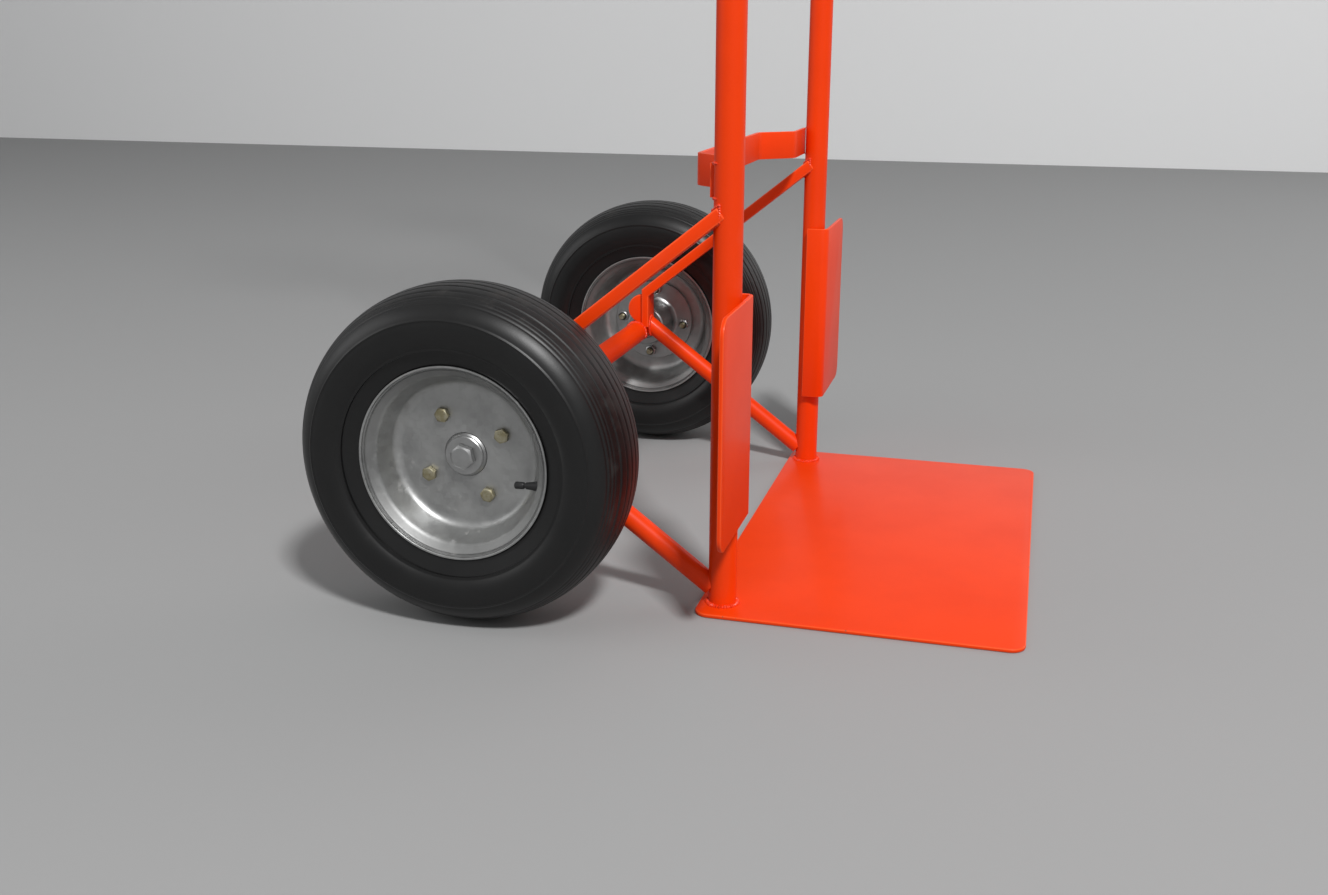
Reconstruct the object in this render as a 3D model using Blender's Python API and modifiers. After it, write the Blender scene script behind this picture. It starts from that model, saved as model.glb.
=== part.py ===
"""Two-wheel hand truck with big pneumatic tyres: a welded tube frame, a flat toe plate and bolted two-piece wheels.

Metres, +Z up. The toe plate lies on the ground and points to -Y, the operator stands at +Y, and the axle
runs along X. The origin is on the plate's underside, midway between the two uprights. "Left" is the
operator's left hand, at +X. Touching pieces keep a gap of WELD_GAP, where the real ones are welded or bolted.
"""

from math import cos, pi, radians, sin

import bmesh
import bpy
from mathutils import Matrix, Vector

# Driving dimensions
TYRE_RADIUS = 0.130
TYRE_HALF_WIDTH = 0.0445
WHEEL_X = 0.256
AXLE_Y = 0.1835
AXLE_Z = TYRE_RADIUS
PLATE_HALF_WIDTH = 0.222
PLATE_FRONT_Y = -0.233
PLATE_BACK_Y = 0.018
PLATE_THICKNESS = 0.003
PLATE_CORNER = 0.012
UPRIGHT_X = 0.195
TUBE_RADIUS = 0.011
TUBE_WALL = 0.002
BEND_Z = 1.256
BEND_RADIUS = 0.060
GRIP_TIP = Vector((0.235, 0.183, 1.382))
SHEET = 0.003
WELD_GAP = 0.0003

# Frame members
STRAP_HEIGHT = 0.025
STRAP_BOTTOMS = {"lower": 0.3188, "middle": 0.655, "upper": 0.985}
STRAP_TAB_X = 0.140
STRAP_BOW_X = 0.115
STRAP_BOW = 0.030
STRAP_BEND_RADIUS = 0.010
TOP_TUBE_Z = 1.205
GUARD_BOTTOM = 0.075
GUARD_TOP = 0.247
GUARD_OUTER_X = 0.281
GUARD_FLANGE_Y = 0.004
GUARD_CORNER = 0.013
STRUT_HALF_WIDTH = 0.0105
STRUT_DEPTH = 0.010
STRUT_SLOPE = radians(38.7)
STRUT_TOP_Z = 0.3118
POST_FRONT_Y = 0.1700
POST_BACK_Y = 0.1774
BRACE_RADIUS = 0.00825
BRACE_FOOT = Vector((0.0142, 0.0205))
BRACE_HEAD = Vector((0.1693, 0.1364))
BRACKET_X = 0.1905
BRACKET_BACK_Y = 0.1930
BRACKET_THICKNESS = 0.006
AXLE_TUBE_HALF = 0.2065
SHAFT_RADIUS = 0.0086
SHAFT_END_RADIUS = 0.006

# Grips, measured along the grip from the corner of the bend
GRIP_START = 0.088
GRIP_END = 0.208
GRIP_RADIUS = 0.0145
GUARD_ROD_RADIUS = 0.003
GUARD_ROD_START = 0.078
GUARD_ROD_END = 0.220
GUARD_ROD_REACH = 0.048

# Wheel, measured along its axis from the tyre's middle, outboard positive
RIM_LIP_RADIUS = 0.0742
RIM_SHEET = 0.0025
OUTER_DISC_FACE = 0.0070
HUB_OUTER_FACE = 0.0090
HUB_INNER_FACE = -0.0380
HUB_FLANGE_RADIUS = 0.043
HUB_FLANGE_THICKNESS = 0.004
HUB_OUTER_RADIUS = 0.0168
HUB_INNER_RADIUS = 0.0205
BEARING_RADIUS = 0.0130
BEARING_WIDTH = 0.008
BOLT_CIRCLE = 0.0345
BOLT_RADIUS = 0.003
BOLT_ACROSS = 0.010
BOLT_HEAD_HEIGHT = 0.004
NUT_THICKNESS = 0.005
AXLE_WASHER_RADIUS = 0.0153
AXLE_WASHER_THICKNESS = 0.002
AXLE_BOLT_ACROSS = 0.017
AXLE_BOLT_HEAD = 0.0055
AXLE_BOLT_REACH = 0.018
VALVE_DEPTH = 0.0230
VALVE_RADIUS = 0.0031
VALVE_TIP = 0.0470
RIM_BOLTS = 4

# Facets
RING_STEPS = 36
RIM_STEPS = 32
HUB_STEPS = 20
TUBE_FACETS = 6

SIDES = {"left": 1, "right": -1}
WHEEL_TURN = {"left": radians(20), "right": radians(-105)}
BOLT_TURN = {"left": radians(5), "right": radians(30)}

COLOURS = {
    "orange_paint": ((0.86, 0.075, 0.012, 1), 0.30, 0.0),
    "tyre_rubber": ((0.018, 0.018, 0.018, 1), 0.62, 0.0),
    "tube_rubber": ((0.03, 0.03, 0.03, 1), 0.75, 0.0),
    "grip_rubber": ((0.02, 0.02, 0.02, 1), 0.70, 0.0),
    "galvanised_steel": ((0.42, 0.43, 0.43, 1), 0.35, 1.0),
    "bright_steel": ((0.60, 0.60, 0.60, 1), 0.28, 1.0),
    "yellow_zinc": ((0.55, 0.47, 0.30, 1), 0.38, 1.0),
    "black_plastic": ((0.02, 0.02, 0.02, 1), 0.45, 0.0),
}


def clear_scene():
    for obj in list(bpy.data.objects):
        bpy.data.objects.remove(obj, do_unlink=True)


def make_collection(name):
    collection = bpy.data.collections.new(name)
    bpy.context.scene.collection.children.link(collection)
    return collection


def make_materials():
    made = {}
    for name, (colour, roughness, metallic) in COLOURS.items():
        material = bpy.data.materials.new(name)
        material.use_nodes = True
        shader = material.node_tree.nodes["Principled BSDF"]
        shader.inputs["Base Color"].default_value = colour
        shader.inputs["Roughness"].default_value = roughness
        shader.inputs["Metallic"].default_value = metallic
        made[name] = material
    return made


clear_scene()
PARTS = make_collection("hand_truck")
CUTTERS = make_collection("cutters")
MATERIALS = make_materials()


def add(name, data, finish=None, parent=None, location=(0, 0, 0), rotation=(0, 0, 0)):
    """A new object of the truck, or a cutter when it has no finish."""
    obj = bpy.data.objects.new(name, data)
    obj.location = location
    obj.rotation_euler = rotation
    obj.parent = parent
    if finish:
        PARTS.objects.link(obj)
        data.materials.append(MATERIALS[finish])
    else:
        CUTTERS.objects.link(obj)
        obj.hide_render = True
        obj.display_type = "WIRE"
    return obj


def mesh_from(shape, name):
    mesh = bpy.data.meshes.new(name)
    shape.to_mesh(mesh)
    shape.free()
    return mesh


def smooth(mesh, angle=40):
    mesh.shade_smooth()
    mesh.set_sharp_from_angle(angle=radians(angle))
    return mesh


def curve_mesh(curve, name):
    """The mesh of a curve, with the loose points of its caps joined."""
    guide = bpy.data.objects.new(name + "_guide", curve)
    bpy.context.scene.collection.objects.link(guide)
    graph = bpy.context.evaluated_depsgraph_get()
    mesh = bpy.data.meshes.new_from_object(guide.evaluated_get(graph))
    bpy.data.objects.remove(guide)
    bpy.data.curves.remove(curve)
    shape = bmesh.new()
    shape.from_mesh(mesh)
    bmesh.ops.remove_doubles(shape, verts=shape.verts, dist=1e-6)
    shape.to_mesh(mesh)
    shape.free()
    mesh.name = name
    return mesh


def poly_curve(points, dimensions="3D", closed=False):
    curve = bpy.data.curves.new("path", "CURVE")
    curve.dimensions = dimensions
    spline = curve.splines.new("POLY")
    spline.points.add(len(points) - 1)
    for control, point in zip(spline.points, points):
        control.co = (*Vector(point).to_3d(), 1)
    spline.use_cyclic_u = closed
    return curve


def bar_mesh(name, points, radius, facets=TUBE_FACETS, caps=True):
    """A round bar along a line of points, with four sides and two more for each facet."""
    curve = poly_curve(points)
    curve.bevel_depth = radius
    curve.bevel_resolution = facets
    curve.use_fill_caps = caps
    return smooth(curve_mesh(curve, name))


def outline_mesh(name, outline, thickness):
    """A flat outline, thickened evenly to both sides."""
    curve = poly_curve(outline, "2D", closed=True)
    curve.fill_mode = "BOTH"
    curve.extrude = thickness / 2
    return curve_mesh(curve, name)


def hollow(obj, wall):
    """Turns a tube's skin into a wall that goes inwards."""
    solid = obj.modifiers.new("wall", "SOLIDIFY")
    solid.thickness = wall
    solid.offset = -1
    solid.use_even_offset = True


def cylinder_mesh(name, radius, low, high, sides=32, across=None):
    """A cylinder or prism along Z from low to high. A hexagon gives its width across flats instead."""
    shape = bmesh.new()
    reach = across / 2 / cos(pi / sides) if across else radius
    move = Matrix.Translation((0, 0, (low + high) / 2))
    bmesh.ops.create_cone(
        shape, cap_ends=True, segments=sides, radius1=reach, radius2=reach, depth=high - low, matrix=move
    )
    return mesh_from(shape, name)


def cut(obj, cutter):
    take = obj.modifiers.new("cut_" + cutter.name, "BOOLEAN")
    take.operation = "DIFFERENCE"
    take.solver = "EXACT"
    take.object = cutter


def turned(name, profile, finish, parent, steps):
    """A ring turned about Z from a closed outline of (radius, height) points."""
    turns = zip(profile, profile[1:] + profile[:1])
    area = sum(a[0] * b[1] - b[0] * a[1] for a, b in turns)
    if area > 0:
        profile = profile[::-1]
    shape = bmesh.new()
    corners = [shape.verts.new((radius, 0, height)) for radius, height in profile]
    for first, second in zip(corners, corners[1:] + corners[:1]):
        shape.edges.new((first, second))
    obj = add(name, mesh_from(shape, name), finish, parent)
    screw = obj.modifiers.new("turn", "SCREW")
    screw.steps = steps
    screw.render_steps = steps
    screw.use_merge_vertices = True
    screw.merge_threshold = 1e-6
    screw.use_smooth_shade = True
    return obj


def rounded_line(points, radius, steps):
    """A line through these points, with an arc of this radius at each corner."""
    rounded = [points[0]]
    for before, corner, after in zip(points, points[1:], points[2:]):
        inward = (corner - before).normalized()
        outward = (after - corner).normalized()
        angle = inward.angle(outward)
        start = corner - inward * radius * (1 - cos(angle)) / sin(angle)
        side = (outward - inward * inward.dot(outward)).normalized()
        for step in range(steps + 1):
            turn = angle * step / steps
            rounded.append(start + inward * radius * sin(turn) + side * radius * (1 - cos(turn)))
    return rounded + [points[-1]]


# The frame


def toe_plate():
    shape = bmesh.new()
    depth = PLATE_BACK_Y - PLATE_FRONT_Y
    middle = (PLATE_BACK_Y + PLATE_FRONT_Y) / 2
    size = Matrix.Diagonal((2 * PLATE_HALF_WIDTH, depth, PLATE_THICKNESS, 1))
    place = Matrix.Translation((0, middle, PLATE_THICKNESS / 2))
    bmesh.ops.create_cube(shape, size=1, matrix=place @ size)
    uprights = [e for e in shape.edges if abs((e.verts[0].co - e.verts[1].co).z) > PLATE_THICKNESS / 2]
    bmesh.ops.bevel(shape, geom=uprights, offset=PLATE_CORNER, segments=5, profile=0.5, affect="EDGES", material=-1)
    add("toe_plate", mesh_from(shape, "toe_plate"), "orange_paint")


def grip_line(side):
    """The corner of an upright's bend, and the direction of its grip."""
    corner = Vector((side * UPRIGHT_X, 0, BEND_Z))
    tip = Vector((side * GRIP_TIP.x, GRIP_TIP.y, GRIP_TIP.z))
    return corner, (tip - corner).normalized(), tip


def upright(word, side):
    corner, _, tip = grip_line(side)
    foot = Vector((side * UPRIGHT_X, 0, PLATE_THICKNESS + WELD_GAP))
    path = rounded_line([foot, corner, tip], BEND_RADIUS, 6)
    tube = add(word + "_upright", bar_mesh("upright", path, TUBE_RADIUS, caps=False), "orange_paint")
    hollow(tube, TUBE_WALL)


def grip(word, side):
    corner, along, _ = grip_line(side)
    inner = TUBE_RADIUS + WELD_GAP
    outline = [
        (inner, 0),
        (GRIP_RADIUS, 0),
        (GRIP_RADIUS, GRIP_END - GRIP_START),
        (inner, GRIP_END - GRIP_START),
    ]
    sleeve = turned(word + "_grip", outline, "grip_rubber", None, 20)
    sleeve.location = corner + along * GRIP_START
    sleeve.rotation_euler = along.to_track_quat("Z", "Y").to_euler()


def knuckle_guard(word, side):
    """A rod that leaves the tube squarely, arches outside the fingers and comes back to the tube's end."""
    corner, along, _ = grip_line(side)
    out = Vector((side, 0, 0))
    out = (out - along * along.dot(out)).normalized()
    base = TUBE_RADIUS + WELD_GAP + 0.0002
    middle = (GUARD_ROD_START + GUARD_ROD_END) / 2
    half = (GUARD_ROD_END - GUARD_ROD_START) / 2
    steps = 12
    path = []
    for step in range(steps + 1):
        turn = pi * step / steps
        reach = base + (GUARD_ROD_REACH - base) * sin(turn) ** 0.8
        path.append(corner + along * (middle - half * cos(turn)) + out * reach)
    add(word + "_knuckle_guard", bar_mesh("knuckle_guard", path, GUARD_ROD_RADIUS, 2), "orange_paint")


def strap_line():
    """The plan of a cross strap: a tab behind each upright, and a flat-bottomed bow between them."""
    behind = TUBE_RADIUS + WELD_GAP
    half = [(UPRIGHT_X, 0), (STRAP_TAB_X, 0), (STRAP_BOW_X, STRAP_BOW)]
    corners = [Vector((-x, behind + depth, 0)) for x, depth in half]
    corners += [Vector((x, behind + depth, 0)) for x, depth in half[::-1]]
    return rounded_line(corners, STRAP_BEND_RADIUS, 3)


def cross_strap(word, bottom):
    shape = bmesh.new()
    corners = [shape.verts.new(point + Vector((0, 0, bottom))) for point in strap_line()]
    edges = [shape.edges.new(pair) for pair in zip(corners, corners[1:])]
    raised = bmesh.ops.extrude_edge_only(shape, edges=edges)["geom"]
    tops = [item for item in raised if isinstance(item, bmesh.types.BMVert)]
    bmesh.ops.translate(shape, verts=tops, vec=(0, 0, STRAP_HEIGHT))
    bmesh.ops.recalc_face_normals(shape, faces=shape.faces)
    front = sum(face.normal.y for face in shape.faces)
    if front < 0:
        bmesh.ops.reverse_faces(shape, faces=shape.faces)
    strap = add(word + "_cross_strap", smooth(mesh_from(shape, "cross_strap")), "orange_paint")
    wall = strap.modifiers.new("sheet", "SOLIDIFY")
    wall.thickness = SHEET
    wall.offset = 1


def top_cross_tube():
    reach = UPRIGHT_X - TUBE_RADIUS - WELD_GAP
    ends = [(-reach, 0, TOP_TUBE_Z), (reach, 0, TOP_TUBE_Z)]
    tube = add("top_cross_tube", bar_mesh("top_cross_tube", ends, TUBE_RADIUS, caps=False), "orange_paint")
    hollow(tube, TUBE_WALL)


def wheel_guard(word, side):
    """An angle on the front of an upright: a wide plate outwards and a flange on the tube's inner side."""
    back = -(TUBE_RADIUS + WELD_GAP)
    inner = UPRIGHT_X - TUBE_RADIUS - WELD_GAP
    shape = bmesh.new()
    plan = [(inner, GUARD_FLANGE_Y), (inner, back), (GUARD_OUTER_X, back)]
    foot = [shape.verts.new((side * x, y, GUARD_BOTTOM)) for x, y in plan]
    edges = [shape.edges.new(pair) for pair in zip(foot, foot[1:])]
    raised = bmesh.ops.extrude_edge_only(shape, edges=edges)["geom"]
    tops = [item for item in raised if isinstance(item, bmesh.types.BMVert)]
    bmesh.ops.translate(shape, verts=tops, vec=(0, 0, GUARD_TOP - GUARD_BOTTOM))
    outer = [vert for vert in shape.verts if abs(vert.co.x) > GUARD_OUTER_X - WELD_GAP]
    bmesh.ops.bevel(
        shape, geom=outer, offset=GUARD_CORNER, segments=4, profile=0.5, affect="VERTICES", material=-1
    )
    bmesh.ops.recalc_face_normals(shape, faces=shape.faces)
    front = sum(face.normal.y for face in shape.faces)
    if front > 0:
        bmesh.ops.reverse_faces(shape, faces=shape.faces)
    guard = add(word + "_wheel_guard", mesh_from(shape, "wheel_guard"), "orange_paint")
    wall = guard.modifiers.new("sheet", "SOLIDIFY")
    wall.thickness = SHEET
    wall.offset = 1
    wall.use_even_offset = True


FACING_X = (radians(90), 0, radians(90))


def tube_cutter(name, radius, start, end):
    """A cutter round a tube that runs from start to end, with the weld gap and a margin for its facets."""
    axis = Vector(end) - Vector(start)
    mesh = cylinder_mesh(name, radius + WELD_GAP + 0.0001, 0, axis.length, 40)
    turn = axis.to_track_quat("Z", "Y").to_euler()
    return add(name, mesh, None, None, start, turn)


def upper_strut(word, side, tube_cut, axle_cut):
    """A bar from the upright down to the axle, bent upright at its foot so that it stands on the axle tube."""
    drop = STRUT_DEPTH / cos(STRUT_SLOPE)
    rise = sin(STRUT_SLOPE) / cos(STRUT_SLOPE)

    def top(y):
        return STRUT_TOP_Z + drop / 2 - rise * y

    outline = [
        (0, top(0)),
        (POST_BACK_Y, top(POST_BACK_Y)),
        (POST_BACK_Y, AXLE_Z),
        (POST_FRONT_Y, AXLE_Z),
        (POST_FRONT_Y, top(POST_FRONT_Y) - drop),
        (0, top(0) - drop),
    ]
    mesh = outline_mesh("upper_strut", outline, 2 * STRUT_HALF_WIDTH)
    place = (side * UPRIGHT_X, 0, 0)
    strut = add(word + "_upper_strut", mesh, "orange_paint", None, place, FACING_X)
    cut(strut, tube_cut)
    cut(strut, axle_cut)


def lower_strut(word, side, tube_cut):
    """A round brace from the foot of the upright to the post above the axle tube."""
    along = (BRACE_HEAD - BRACE_FOOT).normalized()
    ends = []
    for point, stretch in ((BRACE_FOOT, -0.012), (BRACE_HEAD, 0.020)):
        place = point + along * stretch
        ends.append((side * UPRIGHT_X, place.x, place.y))
    brace = add(word + "_lower_strut", bar_mesh("lower_strut", ends, BRACE_RADIUS, 4), "orange_paint")
    cut(brace, tube_cut)
    floor = cylinder_mesh(word + "_brace_foot_cut", 0.05, -0.05, PLATE_THICKNESS + WELD_GAP, 4)
    cut(brace, add(word + "_brace_foot_cut", floor, None, None, (side * UPRIGHT_X, 0, 0)))
    head = bmesh.new()
    place = Vector((side * UPRIGHT_X, POST_FRONT_Y - WELD_GAP + 0.05, AXLE_Z))
    bmesh.ops.create_cube(head, size=0.1, matrix=Matrix.Translation(place))
    cut(brace, add(word + "_brace_head_cut", mesh_from(head, "brace_head_cut"), None))


def axle_bracket(word, side, axle_cut):
    """A plate with a round back that stands on the axle tube, behind the foot of the upper strut."""
    front = POST_BACK_Y + WELD_GAP
    depth = BRACKET_BACK_Y - front
    low = AXLE_Z + 0.002
    high = AXLE_Z + 0.040
    outline = [(front, low), (front, high)]
    steps = 6
    middle = (AXLE_Z + TUBE_RADIUS + high) / 2
    for step in range(steps + 1):
        turn = radians(70) - radians(140) * step / steps
        outline.append((front + depth * cos(turn), middle + (high - middle) * sin(turn)))
    outline.append((front + depth * cos(radians(70)), low))
    mesh = outline_mesh("axle_bracket", outline, BRACKET_THICKNESS)
    place = (side * BRACKET_X, 0, 0)
    bracket = add(word + "_axle_bracket", mesh, "orange_paint", None, place, FACING_X)
    cut(bracket, axle_cut)


def axle_tube():
    ends = [(-AXLE_TUBE_HALF, AXLE_Y, AXLE_Z), (AXLE_TUBE_HALF, AXLE_Y, AXLE_Z)]
    tube = add("axle_tube", bar_mesh("axle_tube", ends, TUBE_RADIUS, caps=False), "orange_paint")
    hollow(tube, TUBE_WALL)


def axle_shaft():
    """A stepped shaft: thick inside the axle tube, thin in the hubs, with a screw hole in each end."""
    shoulder = WHEEL_X + HUB_INNER_FACE - 0.0001
    end = WHEEL_X + HUB_OUTER_FACE - 0.0006
    hole = BOLT_RADIUS + WELD_GAP
    depth = 0.018
    half = [
        (SHAFT_RADIUS, shoulder),
        (SHAFT_END_RADIUS, shoulder),
        (SHAFT_END_RADIUS, end),
        (hole, end),
        (hole, end - depth),
    ]
    core = 0.0008
    outline = [(core, end - depth), *half[::-1]]
    outline += [(radius, -height) for radius, height in half]
    outline.append((core, -(end - depth)))
    shape = turned("axle_shaft", outline, "bright_steel", None, HUB_STEPS)
    shape.location = (0, AXLE_Y, AXLE_Z)
    shape.rotation_euler = (0, radians(90), 0)


# The wheels, each built about Z under an empty that turns Z outboard


def tyre(word, hub):
    """A rounded crown and sidewalls outside, an even wall inside, and a bead at each rim flange."""
    middle = (TYRE_RADIUS + RIM_LIP_RADIUS) / 2
    half_height = (TYRE_RADIUS - RIM_LIP_RADIUS) / 2
    wall = 0.0055

    def section(steps, crown, half_width, power):
        """The rounded part of the section, from one sidewall's foot over the crown to the other's."""
        points = []
        for step in range(steps + 1):
            turn = radians(-40) + radians(260) * step / steps
            x = cos(turn)
            y = sin(turn)
            radius = middle + crown * abs(y) ** power * (1 if y > 0 else -1)
            points.append((radius, half_width * abs(x) ** power * (1 if x > 0 else -1)))
        return points

    outer = section(13, half_height, TYRE_HALF_WIDTH, 0.92)
    inner = section(8, half_height - wall, TYRE_HALF_WIDTH - wall, 1)
    bead = [(0.0661, 0.0270), (0.0661, 0.0282), (0.0732, 0.0312), (0.0748, 0.0336)]
    far_bead = [(radius, -height) for radius, height in bead[::-1]]
    turned(word + "_tyre", bead + outer + far_bead + inner[::-1], "tyre_rubber", hub, RING_STEPS)


def inner_tube(word, hub, valve_cut):
    middle = 0.0965
    half_height = 0.0240
    half_width = 0.0300
    wall = 0.0025
    sides = 8
    for name, shrink, finish in ((word + "_inner_tube", 0, "tube_rubber"), (word + "_tube_air", wall, None)):
        outline = []
        for step in range(sides):
            turn = 2 * pi * (step + 0.5) / sides
            radius = middle + (half_height - shrink) * cos(turn)
            outline.append((radius, (half_width - shrink) * sin(turn)))
        ring = turned(name, outline, finish, hub, 24)
        if finish:
            tube = ring
        else:
            cut(tube, ring)
    cut(tube, valve_cut)


def rim_profile(face, lip, sheet):
    """Half of the rim: disc, rounded corner, barrel and rolled flange, as an outline of even thickness."""
    way = 1 if lip > face else -1
    disc_edge = 0.0560
    barrel = 0.0655
    bore = HUB_OUTER_RADIUS + WELD_GAP
    seat = lip - way * 0.0055
    skin = [(disc_edge, face), (barrel - 0.0020, face + way * 0.0045), (barrel, face + way * 0.0120)]
    skin += [(barrel, seat), (RIM_LIP_RADIUS - 0.0015, lip - way * sheet), (RIM_LIP_RADIUS, lip)]
    back = [(RIM_LIP_RADIUS - 0.0040, lip), (barrel - sheet, seat + way * 0.0004)]
    back += [(barrel - sheet, face + way * 0.0125), (barrel - sheet - 0.0025, face + way * 0.0065)]
    back += [(disc_edge - 0.0010, face + way * sheet), (bore, face + way * sheet)]
    return [(bore, face), *skin, *back]


def rim_halves(word, hub, bolt_cut, valve_cut):
    outer_back = OUTER_DISC_FACE - RIM_SHEET
    inner_front = outer_back - WELD_GAP
    lip = 0.0340
    outer = turned(
        word + "_rim_outer", rim_profile(outer_back, lip, RIM_SHEET), "galvanised_steel", hub, RIM_STEPS
    )
    inner = turned(
        word + "_rim_inner", rim_profile(inner_front, -lip, RIM_SHEET), "galvanised_steel", hub, RIM_STEPS
    )
    cut(outer, bolt_cut)
    cut(outer, valve_cut)
    cut(inner, bolt_cut)


def flange_face():
    """The outboard face of the hub's flange, against the inner rim half."""
    return OUTER_DISC_FACE - 2 * RIM_SHEET - 2 * WELD_GAP


def hub_body(word, hub, bolt_cut):
    front = flange_face()
    back = front - HUB_FLANGE_THICKNESS
    bore = BEARING_RADIUS + WELD_GAP
    waist = 0.0090
    outer_seat = HUB_OUTER_FACE - BEARING_WIDTH - 0.0010
    inner_seat = HUB_INNER_FACE + BEARING_WIDTH + 0.0010
    outline = [
        (bore, HUB_OUTER_FACE),
        (HUB_OUTER_RADIUS, HUB_OUTER_FACE),
        (HUB_OUTER_RADIUS, front),
        (HUB_FLANGE_RADIUS, front),
        (HUB_FLANGE_RADIUS, back),
        (HUB_INNER_RADIUS, back),
        (HUB_INNER_RADIUS, HUB_INNER_FACE),
        (bore, HUB_INNER_FACE),
        (bore, inner_seat),
        (waist, inner_seat),
        (waist, outer_seat),
        (bore, outer_seat),
    ]
    cut(turned(word + "_hub", outline, "bright_steel", hub, HUB_STEPS), bolt_cut)


def bearings(word, hub):
    bore = SHAFT_END_RADIUS + WELD_GAP
    places = {"outer": HUB_OUTER_FACE - 0.0005 - BEARING_WIDTH, "inner": HUB_INNER_FACE + 0.0005}
    for place, low in places.items():
        high = low + BEARING_WIDTH
        outline = [(bore, high), (BEARING_RADIUS, high), (BEARING_RADIUS, low), (bore, low)]
        turned(f"{word}_{place}_bearing", outline, "bright_steel", hub, 16)


def bolt_mesh(name, across, low, high, tip):
    """A hexagonal head from low to high, with a shank down to its tip."""
    reach = across / 2 / cos(pi / 6)
    shape = bmesh.new()
    place = Matrix.Translation((0, 0, (low + high) / 2))
    bmesh.ops.create_cone(
        shape, cap_ends=True, segments=6, radius1=reach, radius2=reach, depth=high - low, matrix=place
    )
    under = min(shape.faces, key=lambda face: face.calc_center_median().z)
    step = (reach - BOLT_RADIUS) * cos(pi / 6)
    bmesh.ops.inset_region(shape, faces=[under], thickness=step, use_even_offset=True)
    shank = bmesh.ops.extrude_face_region(shape, geom=[under])["geom"]
    bmesh.ops.delete(shape, geom=[under], context="FACES_ONLY")
    end = [item for item in shank if isinstance(item, bmesh.types.BMVert)]
    bmesh.ops.translate(shape, verts=end, vec=(0, 0, tip - low))
    bmesh.ops.recalc_face_normals(shape, faces=shape.faces)
    return mesh_from(shape, name)


def rim_fasteners(word, hub):
    """Four bolts with their heads outboard and nuts behind the hub's flange."""
    head = OUTER_DISC_FACE + WELD_GAP
    nut_high = flange_face() - HUB_FLANGE_THICKNESS - WELD_GAP
    nut_low = nut_high - NUT_THICKNESS
    bore = BOLT_RADIUS + WELD_GAP
    reach = BOLT_ACROSS / 2 / cos(pi / 6)
    ring = [(bore, nut_high), (reach, nut_high), (reach, nut_low), (bore, nut_low)]
    for number in range(RIM_BOLTS):
        turn = BOLT_TURN[word] + 2 * pi * number / RIM_BOLTS
        place = (BOLT_CIRCLE * cos(turn), BOLT_CIRCLE * sin(turn), 0)
        mesh = bolt_mesh("rim_bolt", BOLT_ACROSS, head, head + BOLT_HEAD_HEIGHT, nut_low - BOLT_RADIUS)
        add(f"{word}_rim_bolt_{number + 1}", mesh, "yellow_zinc", hub, place)
        nut = turned(f"{word}_rim_nut_{number + 1}", ring, "yellow_zinc", hub, 6)
        nut.location = place
        nut.rotation_euler.z = radians(30)


def valve(word, hub):
    """A rubber stem from the inner tube through the barrel towards the hub, with a cap on its end."""
    turn = WHEEL_TURN[word]
    out = Vector((cos(turn), sin(turn), 0))
    lean = out.to_track_quat("Z", "Y").to_euler()
    place = (0, 0, VALVE_DEPTH)
    cap_end = VALVE_TIP + 0.0080
    stem = cylinder_mesh("valve_stem", VALVE_RADIUS, cap_end + WELD_GAP, 0.0850, 10)
    add(word + "_valve_stem", stem, "black_plastic", hub, place, lean)
    cap = cylinder_mesh("valve_cap", VALVE_RADIUS + 0.0012, VALVE_TIP, cap_end, 10)
    add(word + "_valve_cap", cap, "black_plastic", hub, place, lean)


def wheel_cutters(word, hub):
    """The holes for the four bolts, and the hole for the valve stem."""
    shape = bmesh.new()
    for number in range(RIM_BOLTS):
        turn = BOLT_TURN[word] + 2 * pi * number / RIM_BOLTS
        place = Matrix.Translation((BOLT_CIRCLE * cos(turn), BOLT_CIRCLE * sin(turn), 0))
        bore = BOLT_RADIUS + 2 * WELD_GAP
        bmesh.ops.create_cone(
            shape, cap_ends=True, segments=8, radius1=bore, radius2=bore, depth=0.05, matrix=place
        )
    bolt_cut = add(word + "_bolt_cut", mesh_from(shape, "bolt_cut"), None, hub)
    turn = WHEEL_TURN[word]
    lean = Vector((cos(turn), sin(turn), 0)).to_track_quat("Z", "Y").to_euler()
    bore = cylinder_mesh("valve_cut", VALVE_RADIUS + 2 * WELD_GAP, 0.058, 0.0940, 10)
    valve_cut = add(word + "_valve_cut", bore, None, hub, (0, 0, VALVE_DEPTH), lean)
    return bolt_cut, valve_cut


def axle_end(word, hub):
    """The washer and the bolt that hold a wheel on its shaft end. They belong to the frame."""
    low = HUB_OUTER_FACE + WELD_GAP
    high = low + AXLE_WASHER_THICKNESS
    bore = BOLT_RADIUS + 2 * WELD_GAP
    outline = [(bore, high), (AXLE_WASHER_RADIUS, high), (AXLE_WASHER_RADIUS, low), (bore, low)]
    turned(word + "_axle_washer", outline, "bright_steel", hub, HUB_STEPS)
    head = high + WELD_GAP
    mesh = bolt_mesh("axle_bolt", AXLE_BOLT_ACROSS, head, head + AXLE_BOLT_HEAD, head - AXLE_BOLT_REACH)
    add(word + "_axle_bolt", mesh, "bright_steel", hub)


def wheel(word, side):
    hub = bpy.data.objects.new(word + "_wheel_axis", None)
    hub.location = (side * WHEEL_X, AXLE_Y, AXLE_Z)
    hub.rotation_euler = (0, side * radians(90), 0)
    PARTS.objects.link(hub)
    bolt_cut, valve_cut = wheel_cutters(word, hub)
    tyre(word, hub)
    inner_tube(word, hub, valve_cut)
    rim_halves(word, hub, bolt_cut, valve_cut)
    hub_body(word, hub, bolt_cut)
    bearings(word, hub)
    rim_fasteners(word, hub)
    valve(word, hub)
    axle_end(word, hub)


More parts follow.
